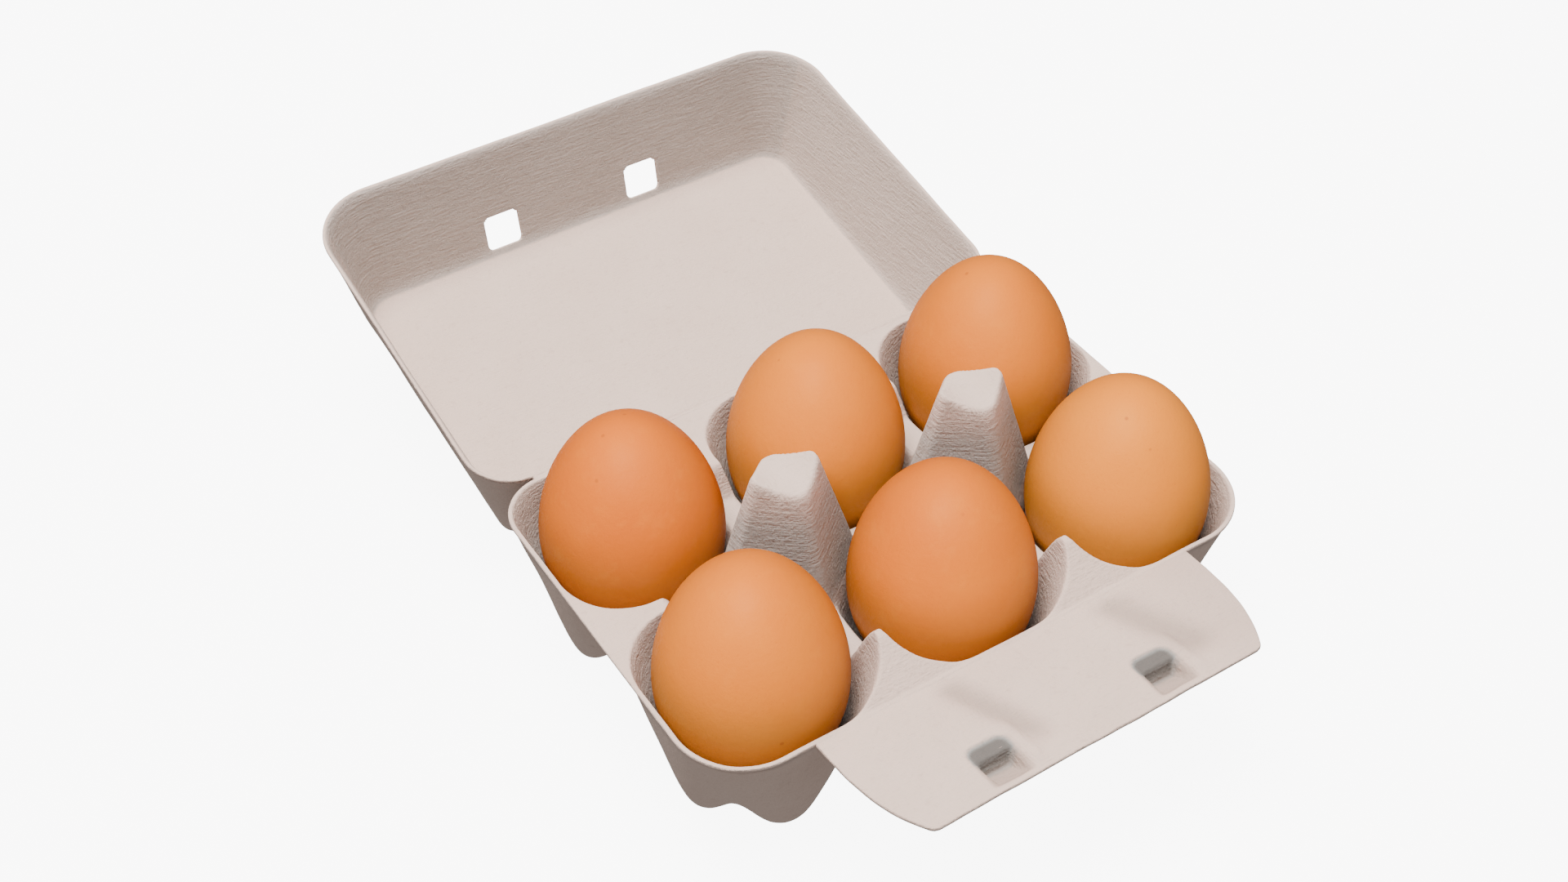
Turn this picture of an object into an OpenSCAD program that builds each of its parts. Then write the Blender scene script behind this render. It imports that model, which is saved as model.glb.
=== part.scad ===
// Hinged six-cell egg carton of moulded pulp, filled with six hen's eggs.
// Millimetres, +Z up. The origin is on the supporting surface, under the middle of the open carton.
// The lock flap is on the -Y side, the lid hinge on the +Y side. The lid and the flap lie open.

/* [Sheet] */
// Thickness of the moulded pulp
sheet = 1; // [0.8:0.1:1.2]

/* [Tray] */
// Distance between neighbouring cells along X
pitch_x = 50; // [50:0.5:52]
// Distance between the front row and the back row of cells
pitch_y = 50.9; // [50.9:0.1:52]
// Outside width of the tray at the rim
tray_w = 147.2; // [147:0.2:149]
// Outside depth of the tray at the rim
tray_d = 99.6; // [99.4:0.2:100]
// Height of the rim above the supporting surface
rim_z = 34.3; // [34:0.1:35]
// Height of the inner face of a cell's floor
floor_z = 6.6; // [6:0.1:7]
// Corner radius of the rim at the flap side
corner_front = 17; // [14:1:18]
// Corner radius of the rim at the hinge side
corner_back = 12; // [11:1:14]
// Height of the low saddles between neighbouring cells
saddle_z = 26; // [24:0.5:28]
// Rise of the two crests behind the lock flap
crest_rise = 6.5; // [5:0.5:7]

/* [Posts] */
// Height of the low middle of a post's top
post_z = 57; // [56:0.1:57.6]
// Half width of a post's top along X
post_half_x = 7.7; // [7.2:0.1:8]
// Half width of a post's top along Y
post_half_y = 6.2; // [5.8:0.1:6.5]

/* [Lid] */
// Inside depth of the lid
lid_depth = 30.3; // [30.2:0.1:31]
// Outside width of the lid at its rim
lid_w = 148; // [147:0.2:149]
// Length of the lid from its hinge axis to its far edge
lid_len = 103.1; // [103:0.1:103.5]
// How far the open lid's far edge is tilted up
lid_tilt = 10; // [8:1:12]
// Width of each lock window
window_w = 10.4; // [10.3:0.1:10.8]
// Distance from the lid's rim to the near edge of a window
window_low = 19.2; // [19:0.1:19.4]
// Distance from the lid's rim to the far edge of a window
window_high = 28.9; // [28.4:0.1:29]
// Distance between the middles of the two windows, and of the two buttons
lock_pitch = 43.2; // [42:0.2:44]

/* [Lock flap] */
// Length of the flap from its hinge axis
flap_len = 31.3; // [31:0.1:31.5]
// Width of the flap at its hinge
flap_w = 99; // [98:0.5:99]
// How far the open flap is tilted up
flap_tilt = 4.5; // [3:0.5:5]
// Height of the lock buttons
button_h = 3.8; // [3:0.1:3.8]

/* [Eggs] */
// Largest diameter of an egg
egg_d = 42.6; // [41:0.1:42.6]
// Length of an egg
egg_len = 57; // [54:0.1:57]

/* [Hidden] */

PULP = [0.80, 0.77, 0.74];
SHELL = [0.88, 0.55, 0.31];
EPS = 0.01;

// The middle of the six cells lies this far from the origin along Y. Everything is drawn around that
// middle and moved here.
tray_y = -35.4;

// Tray outline and openings
half_w = tray_w / 2;
half_d = tray_d / 2;
lip = 1;                    // flat lip between a cell's opening and the rim's edge
ridge_half = 2;             // half width of the web between two openings
opening_corner = 16;        // corner radius of an opening
wall_run = 6.9;             // how far a cell wall leans in, on the cell's axes
wall_run_corner = 12;       // the same towards the cell's corners
wall_bend = 1.45;           // above 1 the wall curves in towards the floor
foot_z = 0.62;              // inner face of the feet, which are cut flat below
deck_side = 50;             // the side decks start to rise here, in |x|
deck_back = 26;             // the back decks start to rise here, in y
deck_front = 28.5;          // the front crests start to rise here, in -y
crest_foot = 49;            // the front crests are down to the rim here, in -y

// Posts stand on the web where the corners of four cells meet
post_x = pitch_x / 2;
post_seam = 19;             // the post's own node ends on the line |x| + |y| = post_seam
post_edge = 4;              // the four sides reach this far above post_z at the half widths
post_slope = 3.35;          // rise of a side for each millimetre inwards
post_cut = 1.18;            // the corners are cut here: 1 would leave a diamond, 2 a rectangle
post_cut_slope = 21;        // rise of the cut corners from there outwards to twice the half widths
post_saddle = 0.045;        // curvature of the top along X

// Hinges
crease_gap = 0.6;           // from each crease's axis to the sheets on both sides of it
lid_axis = [0, half_d + crease_gap, rim_z + 0.15];
flap_axis = [0, -half_d - crease_gap, rim_z - sheet / 2];
lid_crease_len = 126;
crease_r = 0.42;

// Lock buttons, measured along the flap and across it
button_start = 22.2;        // the steep side begins here
button_back = 2.1;          // length of the steep side
button_crown = 1.7;         // the ramp back up begins this far from the start
button_end = 30;
button_half = 2.8;          // half width of the button's top
button_side = 1.7;          // width of its sloping ends

// Lid wall: how far it leans in at the sides, the far edge and the hinge edge
lid_run_side = 8.3;
lid_run_far = 10.2;
lid_run_near = 6.6;
lid_corner_far = 17;
lid_corner_near = 12;
lid_drop = 0.15;            // the rim's open face lies this far below the hinge axis

egg_skew = 0.127;           // how much slimmer the pointed end is
egg_z = 32.6;               // height of the eggs' widest circle

// ---------- small helpers ----------

module placed() { translate([0, tray_y, 0]) children(); }

function unit(v) = v / norm(v);
function ramp(x) = let (c = min(1, max(0, x))) c * c * (3 - 2 * c);
function soft_min(a, b, k) = let (h = max(k - abs(a - b), 0) / k) min(a, b) - h * h * k / 4;
function soft_max(a, b, k) = -soft_min(-a, -b, k);

// Distance from the middle of a rounded rectangle to its edge, along the direction (c, s).
function edge_distance(c, s, a, b, r) =
    s * a <= c * (b - r) ? a / c
    : c * b <= s * (a - r) ? b / s
    : let (m = c * (a - r) + s * (b - r)) m + sqrt(m * m - pow(a - r, 2) - pow(b - r, 2) + r * r);

// ---------- tray surface ----------

function cell_x(i) = i * pitch_x;
function cell_y(j) = j * pitch_y / 2;
function column(x) = x < -pitch_x / 2 ? -1 : x > pitch_x / 2 ? 1 : 0;
function row(y) = y < 0 ? -1 : 1;

// Half size of cell (i, j) on the side that the offset (u, v) points to: the tray's edge or the middle
// of the web.
function block_x(i, u) = i != 0 && u * i > 0 ? half_w - pitch_x : pitch_x / 2;
function block_y(j, v) = v * j > 0 ? half_d - pitch_y / 2 : pitch_y / 2;
function inset_x(i, u) = i != 0 && u * i > 0 ? lip : ridge_half;
function inset_y(j, v) = v * j > 0 ? lip : ridge_half;
function at_tray_corner(i, j, u, v) = i != 0 && u * i > 0 && v * j > 0;
function rim_corner(j) = j < 0 ? corner_front : corner_back;

function opening(i, j, u, v) =
    let (p = max(norm([u, v]), EPS))
    edge_distance(abs(u) / p, abs(v) / p, block_x(i, u) - inset_x(i, u), block_y(j, v) - inset_y(j, v),
                  at_tray_corner(i, j, u, v) ? rim_corner(j) - lip : opening_corner);

// 1 on the cell's own X and Y axes, where its four feet are, and 0 on its diagonals
function lobe(u, v) = pow((u * u - v * v) / max(u * u + v * v, EPS), 2);
function foot(u, v) = 1 - pow(1 - lobe(u, v), 1.4);
function wall_width(u, v) = wall_run + (wall_run_corner - wall_run) * (1 - lobe(u, v));

function cup(i, j, u, v) =
    let (
        p = norm([u, v]),
        r = opening(i, j, u, v),
        run = wall_width(u, v),
        drop = (floor_z - foot_z) * foot(u, v),
        depth = rim_z - floor_z + drop,
        inside = r - p
    )
    inside < 0 ? rim_z - inside * depth * wall_bend / run
    : inside < run ? rim_z - depth * (1 - pow(1 - inside / run, wall_bend))
    : floor_z - drop * ramp((p / (r - run) - 0.5) / 0.35);

// Upper web: rim, decks, low saddles and the two front crests
function crest(x, y) =
    crest_rise * min(1, max(0, (crest_foot + y) / 11)) * (1 - ramp((abs(abs(x) - post_x) - 9) / 5));
function web(x, y) =
    let (
        side = saddle_z + (rim_z - saddle_z) * ramp((abs(x) - deck_side) / 6.5),
        back = saddle_z + (rim_z - saddle_z) * ramp((y - deck_back) / 5.5),
        front = saddle_z + (rim_z + crest(x, y) - saddle_z) * ramp((-y - deck_front) / 8)
    )
    max(side, back, front);

function post_surface(x, y) =
    let (
        u = abs(abs(x) - post_x),
        v = abs(y),
        sides = soft_max(post_slope * (u - post_half_x), post_slope * (v - post_half_y), 3),
        corners = post_cut_slope * (u / post_half_x + v / post_half_y - post_cut)
    )
    soft_min(post_z + post_edge - soft_max(sides, corners, 3), post_z + post_saddle * u * u, 2.5);

function tray_z(x, y) =
    let (i = column(x), j = row(y))
    soft_max(soft_min(web(x, y), cup(i, j, x - cell_x(i), y - cell_y(j)), 2), post_surface(x, y), 2);

function tray_point(x, y) = [x, y, tray_z(x, y)];
function tray_normal(x, y) =
    let (h = 0.05)
    unit([tray_z(x - h, y) - tray_z(x + h, y), tray_z(x, y - h) - tray_z(x, y + h), 2 * h]);

// ---------- closed sheets ----------

// Faces of a closed skin over two layers of points. Each layer is a middle point and then rings of
// n points from the middle outwards. The first layer faces +Z.
function disc_faces(n, rings) =
    let (
        layer = 1 + n * rings,
        at = function (side, ring, k) side * layer + 1 + ring * n + k % n
    )
    [
        for (k = [0:n - 1]) [0, at(0, 0, k + 1), at(0, 0, k)],
        for (ring = [0:rings - 2], k = [0:n - 1])
            each [[at(0, ring, k), at(0, ring, k + 1), at(0, ring + 1, k)],
                  [at(0, ring, k + 1), at(0, ring + 1, k + 1), at(0, ring + 1, k)]],
        for (k = [0:n - 1]) [layer, at(1, 0, k), at(1, 0, k + 1)],
        for (ring = [0:rings - 2], k = [0:n - 1])
            each [[at(1, ring, k), at(1, ring + 1, k), at(1, ring, k + 1)],
                  [at(1, ring, k + 1), at(1, ring + 1, k), at(1, ring + 1, k + 1)]],
        for (k = [0:n - 1])
            each [[at(0, rings - 1, k), at(0, rings - 1, k + 1), at(1, rings - 1, k)],
                  [at(0, rings - 1, k + 1), at(1, rings - 1, k + 1), at(1, rings - 1, k)]]
    ];

module tray_patch(plan, n, rings) {
    normals = [for (p = plan) tray_normal(p.x, p.y)];
    inner = [for (p = plan) tray_point(p.x, p.y)];
    outer = [for (k = [0:len(plan) - 1]) inner[k] - sheet * normals[k]];
    polyhedron(points = concat(inner, outer), faces = disc_faces(n, rings));
}

// ---------- tray ----------

SIDE_STEPS = 12;

// Point k of 4 * SIDE_STEPS on the edge of the square from -1 to 1, anticlockwise from (1, -1)
function square_point(k) =
    let (side = floor(k / SIDE_STEPS), t = 2 * (k % SIDE_STEPS) / SIDE_STEPS - 1)
    side == 0 ? [1, t] : side == 1 ? [-t, 1] : side == 2 ? [-1, -t] : [t, -1];

// Outer edge of a cell's node along the ray through (u, v). It stops at the seam with the posts.
function cell_edge(i, j, u, v) =
    let (
        p = norm([u, v]),
        c = abs(u) / p,
        s = abs(v) / p,
        corner = at_tray_corner(i, j, u, v) ? rim_corner(j) : 0,
        whole = edge_distance(c, s, block_x(i, u), block_y(j, v), corner),
        faces_post = v * j < 0 && (i == 0 || u * i < 0),
        seam = (pitch_x / 2 + pitch_y / 2 - post_seam) / (c + s)
    )
    faces_post ? min(whole, seam) : whole;

FLOOR_STATIONS = [0.5, 0.67, 0.85, 1];
WALL_STATIONS = [0.3, 0.55, 0.76, 0.9, 1];

module cell(i, j) {
    n = 4 * SIDE_STEPS;
    plan = [
        [cell_x(i), cell_y(j)],
        for (f = FLOOR_STATIONS, k = [0:n - 1])
            cell_station(i, j, k, f, 0),
        for (f = WALL_STATIONS, k = [0:n - 1])
            cell_station(i, j, k, 1, f),
        for (k = [0:n - 1])
            cell_station(i, j, k, 1, 2)
    ];
    color(PULP)
        placed() difference() {
            tray_patch(plan, n, len(FLOOR_STATIONS) + len(WALL_STATIONS) + 1);
            translate([cell_x(i) - pitch_x, cell_y(j) - pitch_y, -5])
                cube([2 * pitch_x, 2 * pitch_y, 5]);
        }
}

// A point of a cell's plan on ray k: floor goes from 0 in the middle to 1 at the foot of the wall, wall
// from 0 there to 1 at the opening. A wall of 2 means the outer edge of the node.
function cell_station(i, j, k, floor_part, wall_part) =
    let (
        q = square_point(k),
        u = q.x * block_x(i, q.x),
        v = q.y * block_y(j, q.y),
        away = unit([u, v]),
        edge = cell_edge(i, j, u, v),
        foot = opening(i, j, u, v) - wall_width(u, v),
        top = min(opening(i, j, u, v), edge - 0.8),
        reach = wall_part == 2 ? edge : floor_part * foot + wall_part * (top - foot)
    )
    [cell_x(i), cell_y(j)] + reach * away;

module post(i) {
    n = 32;
    stations = [0.14, 0.26, 0.34, 0.4, 0.46, 0.56, 0.7, 0.85, 1];
    plan = [
        [i * post_x, 0],
        for (f = stations, k = [0:n - 1])
            let (a = 360 * k / n)
            [i * post_x + f * post_seam * cos(a) / (abs(cos(a)) + abs(sin(a))),
             f * post_seam * sin(a) / (abs(cos(a)) + abs(sin(a)))]
    ];
    color(PULP) placed() tray_patch(plan, n, len(stations));
}

// ---------- lid ----------

// Corner arcs of the lid's outline, inset by the part f of the wall's run. Points go anticlockwise
// from the far edge's right-hand end.
ARC_STEPS = 6;
SIDE_POINTS = 5;

function lid_corner_arc(cx, cy, r, from) =
    [for (k = [0:ARC_STEPS]) [cx + r * cos(from + 90 * k / ARC_STEPS), cy + r * sin(from + 90 * k / ARC_STEPS)]];

function between(a, b, steps) = [for (k = [1:steps - 1]) a + (b - a) * k / steps];

function lid_ring(f) =
    let (
        w = lid_w / 2 - f * lid_run_side,
        far = lid_len - f * lid_run_far,
        near = crease_gap + f * lid_run_near,
        rf = max(1, lid_corner_far - f * lid_run_side),
        rn = max(1, lid_corner_near - f * lid_run_side),
        right_far = lid_corner_arc(w - rf, far - rf, rf, 0),
        left_far = lid_corner_arc(-w + rf, far - rf, rf, 90),
        left_near = lid_corner_arc(-w + rn, near + rn, rn, 180),
        right_near = lid_corner_arc(w - rn, near + rn, rn, 270)
    )
    concat(
        right_far, between(right_far[ARC_STEPS], left_far[0], SIDE_POINTS),
        left_far, between(left_far[ARC_STEPS], left_near[0], SIDE_POINTS),
        left_near, between(left_near[ARC_STEPS], right_near[0], SIDE_POINTS),
        right_near, between(right_near[ARC_STEPS], right_far[0], SIDE_POINTS)
    );

// Depth of the lid's inner face at inset f: lip, wall and floor with rounded bends
function lid_z(f) =
    let (wall = -(f - 0.12) / 0.98 * lid_depth)
    -lid_drop + soft_max(soft_min(0, wall, 3), -lid_depth, 4.5);

module lid_shell() {
    stations = [0, 0.07, 0.14, 0.2, 0.3, 0.5, 0.7, 0.85, 0.95, 1.03, 1.12, 1.25, 2.5];
    n = len(lid_ring(0));
    h = 0.02;
    slopes = [for (f = stations) (lid_z(f + h) - lid_z(max(0, f - h))) / ((h + min(f, h)) * lid_run_side)];
    // The outer face is the inner one moved out along the wall's own normal.
    tilts = [for (m = slopes) unit([-m, 1])];
    inner = [for (f = stations) for (p = lid_ring(f)) [p.x, p.y, lid_z(f)]];
    outer = [
        for (k = [0:len(stations) - 1])
            let (f = stations[k] - sheet * tilts[k].x / lid_run_side)
            for (p = lid_ring(f)) [p.x, p.y, lid_z(stations[k]) - sheet * tilts[k].y]
    ];
    middle = [0, lid_len / 2, -lid_drop - lid_depth];
    rings = [for (k = [len(stations) - 1:-1:0]) k];
    polyhedron(
        points = concat(
            [middle], [for (k = rings) each [for (p = [0:n - 1]) inner[k * n + p]]],
            [middle - [0, 0, sheet]], [for (k = rings) each [for (p = [0:n - 1]) outer[k * n + p]]]
        ),
        faces = disc_faces(n, len(stations))
    );
}

module window(side) {
    round_r = 1.6;
    translate([side * lock_pitch / 2, lid_len + 5, -lid_drop - (window_low + window_high) / 2])
        rotate([90, 0, 0])
            linear_extrude(height = 22)
                offset(r = round_r)
                    square([window_w - 2 * round_r, window_high - window_low - 2 * round_r], center = true);
}

module lid() {
    color(PULP)
        placed() translate(lid_axis)
            rotate([lid_tilt, 0, 0])
                difference() {
                    lid_shell();
                    window(-1);
                    window(1);
                }
}

module lid_crease() {
    color(PULP)
        placed() translate(lid_axis)
            rotate([0, 90, 0])
                cylinder(r = crease_r, h = lid_crease_len, center = true, $fn = 24);
}

// ---------- lock flap ----------

// Places across the flap: millimetres up to FLAP_STRAIGHT, from there on spread to the flap's edge
FLAP_STRAIGHT = 30;
FLAP_INNER = [0, 4, 8, 12, 15, 17.1, 17.95, 18.8, 21.6, 24.4, 25.25, 26.1, 28, FLAP_STRAIGHT];
FLAP_OUTER = [0.2, 0.4, 0.6, 0.8, 1];
FLAP_ROWS = [crease_gap, 2.1, 9, 16, 21.3, 22.2, 23, 23.7, 24.4, 25.9, 27.7, 28.9, 29.8, 30.6, flap_len];

// The flap's ends curve inwards, up to blunt corners at its long edge.
function flap_half(s) =
    let (corner = max(0, s - flap_len + 1))
    flap_w / 2 - 7 * pow(s / flap_len, 3.1) - (1 - sqrt(1 - corner * corner));
function flap_side(s) =
    concat(FLAP_INNER, [for (f = FLAP_OUTER) FLAP_STRAIGHT + f * (flap_half(s) - FLAP_STRAIGHT)]);
function flap_columns(s) =
    let (side = flap_side(s), n = len(side))
    concat([for (k = [n - 1:-1:1]) -side[k]], side);

// Height of the flap's upper face. Each button is a pocket with a steep side towards the hinge and a
// ramp back up to the edge.
function button_depth(x, s) =
    let (
        across = 1 - ramp((abs(abs(x) - lock_pitch / 2) - button_half) / button_side),
        steep = ramp((s - button_start) / button_back),
        crown = button_start + button_crown,
        slope = 1 - min(1, max(0, (s - crown) / (button_end - crown)))
    )
    button_h * across * min(steep, slope);
// The flap is thinner next to its crease.
function flap_thickness(s) = sheet * (0.5 + 0.5 * min(1, (s - crease_gap) / 1.5));
function flap_z(x, s) = flap_thickness(s) / 2 - button_depth(x, s);
function flap_normal(x, s) =
    let (h = 0.05)
    unit([flap_z(x - h, s) - flap_z(x + h, s), flap_z(x, s - h) - flap_z(x, s + h), 2 * h]);

module flap_sheet() {
    nx = len(flap_columns(0));
    ny = len(FLAP_ROWS);
    plan = [for (s = FLAP_ROWS) each [for (x = flap_columns(s)) [x, s]]];
    upper = [for (p = plan) [p.x, p.y, flap_z(p.x, p.y)]];
    lower = [
        for (k = [0:nx * ny - 1])
            upper[k] - flap_thickness(plan[k].y) * flap_normal(plan[k].x, plan[k].y)
    ];
    at = function (side, c, r) side * nx * ny + r * nx + c;
    edge = concat(
        [for (c = [0:nx - 2]) [c, 0]], [for (r = [0:ny - 2]) [nx - 1, r]],
        [for (c = [nx - 1:-1:1]) [c, ny - 1]], [for (r = [ny - 1:-1:1]) [0, r]]
    );
    m = len(edge);
    polyhedron(
        points = concat(upper, lower),
        faces = [
            for (c = [0:nx - 2], r = [0:ny - 2])
                each [[at(0, c, r), at(0, c, r + 1), at(0, c + 1, r)],
                      [at(0, c + 1, r), at(0, c, r + 1), at(0, c + 1, r + 1)],
                      [at(1, c, r), at(1, c + 1, r), at(1, c, r + 1)],
                      [at(1, c + 1, r), at(1, c + 1, r + 1), at(1, c, r + 1)]],
            for (k = [0:m - 1])
                let (a = edge[k], b = edge[(k + 1) % m])
                each [[at(0, a.x, a.y), at(0, b.x, b.y), at(1, a.x, a.y)],
                      [at(0, b.x, b.y), at(1, b.x, b.y), at(1, a.x, a.y)]]
        ]
    );
}

module lock_flap() {
    color(PULP)
        placed() translate(flap_axis)
            rotate([-flap_tilt, 0, 0])
                rotate([0, 0, 180])
                    flap_sheet();
}

module flap_crease() {
    color(PULP)
        placed() translate(flap_axis)
            rotate([0, 90, 0])
                cylinder(r = crease_r, h = flap_w, center = true, $fn = 24);
}

// ---------- eggs ----------

EGG_STEPS = 26;

function egg_half(t) = sqrt(max(0, 1 - t * t)) * (1 - egg_skew * t);
egg_widest = (1 - sqrt(1 + 8 * egg_skew * egg_skew)) / (4 * egg_skew);

module egg(i, j) {
    profile = [
        for (k = [0:EGG_STEPS])
            let (t = -cos(180 * k / EGG_STEPS))
            [k == 0 || k == EGG_STEPS ? 0 : egg_d / 2 * egg_half(t) / egg_half(egg_widest),
             (t - egg_widest) * egg_len / 2]
    ];
    color(SHELL)
        placed() translate([cell_x(i), cell_y(j), egg_z])
            rotate_extrude($fn = 64)
                polygon(profile);
}

module cell_front_left() { cell(-1, -1); }
module cell_front_middle() { cell(0, -1); }
module cell_front_right() { cell(1, -1); }
module cell_back_left() { cell(-1, 1); }
module cell_back_middle() { cell(0, 1); }
module cell_back_right() { cell(1, 1); }
module post_left() { post(-1); }
module post_right() { post(1); }
module egg_front_left() { egg(-1, -1); }
module egg_front_middle() { egg(0, -1); }
module egg_front_right() { egg(1, -1); }
module egg_back_left() { egg(-1, 1); }
module egg_back_middle() { egg(0, 1); }
module egg_back_right() { egg(1, 1); }

cell_front_left();
cell_front_middle();
cell_front_right();
cell_back_left();
cell_back_middle();
cell_back_right();
post_left();
post_right();
lid();
lid_crease();
lock_flap();
flap_crease();
egg_front_left();
egg_front_middle();
egg_front_right();
egg_back_left();
egg_back_middle();
egg_back_right();
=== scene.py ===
"""Open egg carton of moulded pulp with six brown eggs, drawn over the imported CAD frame.

The geometry functions work in millimetres around the middle of the six cells, where part.scad draws
too. place() moves their points into the row's frame in metres.
"""

import math

import bpy
import numpy as np
from mathutils import Matrix, Vector


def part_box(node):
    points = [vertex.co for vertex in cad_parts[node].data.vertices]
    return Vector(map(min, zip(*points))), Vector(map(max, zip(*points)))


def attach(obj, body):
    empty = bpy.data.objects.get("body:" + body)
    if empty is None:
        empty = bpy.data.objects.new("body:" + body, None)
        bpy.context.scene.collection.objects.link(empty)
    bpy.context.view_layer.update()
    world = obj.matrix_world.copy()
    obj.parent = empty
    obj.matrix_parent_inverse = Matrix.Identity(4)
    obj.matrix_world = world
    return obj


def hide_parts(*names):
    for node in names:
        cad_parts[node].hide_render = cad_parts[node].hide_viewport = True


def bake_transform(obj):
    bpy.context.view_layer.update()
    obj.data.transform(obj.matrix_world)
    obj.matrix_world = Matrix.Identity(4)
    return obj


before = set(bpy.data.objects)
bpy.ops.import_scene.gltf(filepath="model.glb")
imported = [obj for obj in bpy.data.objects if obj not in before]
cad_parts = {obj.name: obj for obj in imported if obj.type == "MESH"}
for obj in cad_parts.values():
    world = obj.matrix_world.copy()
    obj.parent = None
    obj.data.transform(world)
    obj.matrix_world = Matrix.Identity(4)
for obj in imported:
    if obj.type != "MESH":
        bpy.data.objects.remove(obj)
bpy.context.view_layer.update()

# ---------------------------------------------------------------------------------------------
# Dimensions in millimetres, as in part.scad
# ---------------------------------------------------------------------------------------------

SHEET = 1.0
PITCH_X, PITCH_Y = 50.0, 50.9
HALF_W, HALF_D = 73.6, 49.8
RIM_Z, FLOOR_Z, FOOT_Z, SADDLE_Z = 34.3, 6.6, 0.62, 26.0
CORNER_FRONT, CORNER_BACK = 17.0, 12.0
LIP, RIDGE_HALF, OPENING_CORNER = 1.0, 2.0, 16.0
WALL_RUN, WALL_RUN_CORNER, WALL_BEND = 6.9, 12.0, 1.45
DECK_SIDE, DECK_BACK, DECK_FRONT = 50.0, 26.0, 28.5
CREST_RISE, CREST_FOOT = 6.5, 49.0
POST_X, POST_Z, POST_HALF_X, POST_HALF_Y = 25.0, 57.0, 7.7, 6.2
POST_EDGE, POST_SLOPE, POST_CUT, POST_CUT_SLOPE, POST_SADDLE = 4.0, 3.35, 1.18, 21.0, 0.045
CREASE_GAP = 0.6
LID_AXIS = (HALF_D + CREASE_GAP, RIM_Z + 0.15)
FLAP_AXIS = (-HALF_D - CREASE_GAP, RIM_Z - SHEET / 2)
LID_HALF_W, LID_LEN, LID_DEPTH, LID_DROP, LID_TILT = 74.0, 103.1, 30.3, 0.15, math.radians(10)
LID_RUN_SIDE, LID_RUN_FAR, LID_RUN_NEAR = 8.3, 10.2, 6.6
LID_CORNER_FAR, LID_CORNER_NEAR = 17.0, 12.0
LID_CREASE_HALF = 63.0
LOCK_X = 21.6
WINDOW_HALF_W, WINDOW_LOW, WINDOW_HIGH, WINDOW_R = 5.2, 19.2, 28.9, 1.6
FLAP_LEN, FLAP_W, FLAP_STRAIGHT, FLAP_TILT = 31.3, 99.0, 30.0, math.radians(4.5)
BUTTON_H, BUTTON_START, BUTTON_BACK, BUTTON_CROWN, BUTTON_END = 3.9, 22.2, 1.3, 1.7, 30.2
BUTTON_HALF, BUTTON_SIDE = 3.3, 1.1
DENT_HALF, DENT_START, DENT_CORNER, DENT_SUNK = 2.7, 21.0, 2.4, 0.62
EGG_D, EGG_LEN, EGG_SKEW, EGG_Z = 42.6, 57.0, 0.127, 32.6

tray_low, tray_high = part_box("cell_front_middle")[0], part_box("cell_back_middle")[1]
TRAY_Y = (tray_low[1] + tray_high[1]) / 2


def place(points):
    """Millimetres around the middle of the cells to metres in the row's frame."""
    return np.asarray(points, float) * 0.001 + (0, TRAY_Y, 0)


# ---------------------------------------------------------------------------------------------
# Small helpers
# ---------------------------------------------------------------------------------------------


def ramp(x):
    c = np.clip(x, 0, 1)
    return c * c * (3 - 2 * c)


def soft_min(a, b, k):
    h = np.maximum(k - np.abs(a - b), 0) / k
    return np.minimum(a, b) - h * h * k / 4


def soft_max(a, b, k):
    return -soft_min(-a, -b, k)


def bump(x, width):
    return np.exp(-((x / width) ** 2))


def edge_distance(c, s, a, b, r):
    """Distance from the middle of a rounded rectangle to its edge, along the direction (c, s)."""
    m = c * (a - r) + s * (b - r)
    arc = m + np.sqrt(np.maximum(m * m - (a - r) ** 2 - (b - r) ** 2 + r * r, 0))
    safe_c, safe_s = np.maximum(c, 1e-9), np.maximum(s, 1e-9)
    return np.where(s * a <= c * (b - r), a / safe_c, np.where(c * b <= s * (a - r), b / safe_s, arc))


def waves(points, size, seed):
    """Smooth irregular waves between about -1 and 1, of the given size in millimetres."""
    rng = np.random.default_rng(seed)
    total = np.zeros(len(points))
    for _ in range(9):
        way = rng.normal(size=3)
        way /= np.linalg.norm(way)
        total += np.sin(points @ way * (2 * math.pi / (size * rng.uniform(0.7, 1.5))) + rng.uniform(0, 6.3))
    return total / 4


def vertex_normals(points, faces):
    """Area-weighted normals. faces is an array of quads; a triangle repeats its last corner."""
    a, b, c, d = (points[faces[:, k]] for k in range(4))
    n = np.cross(c - a, d - b)
    out = np.zeros_like(points)
    for k in range(4):
        np.add.at(out, faces[:, k], n)
    return out / np.maximum(np.linalg.norm(out, axis=1, keepdims=True), 1e-12)


def make_object(name, points, faces, **values):
    """A mesh object. values are named numbers for each point, which the material reads."""
    mesh = bpy.data.meshes.new(name)
    polygons = [f[:3] if f[2] == f[3] else f for f in np.asarray(faces).tolist()]
    mesh.from_pydata(place(points).tolist(), [], polygons)
    mesh.shade_smooth()
    for key, value in values.items():
        mesh.attributes.new(key, "FLOAT", "POINT").data.foreach_set("value", value.astype(np.float32))
    mesh.update()
    obj = bpy.data.objects.new(name, mesh)
    bpy.context.scene.collection.objects.link(obj)
    return obj


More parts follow.
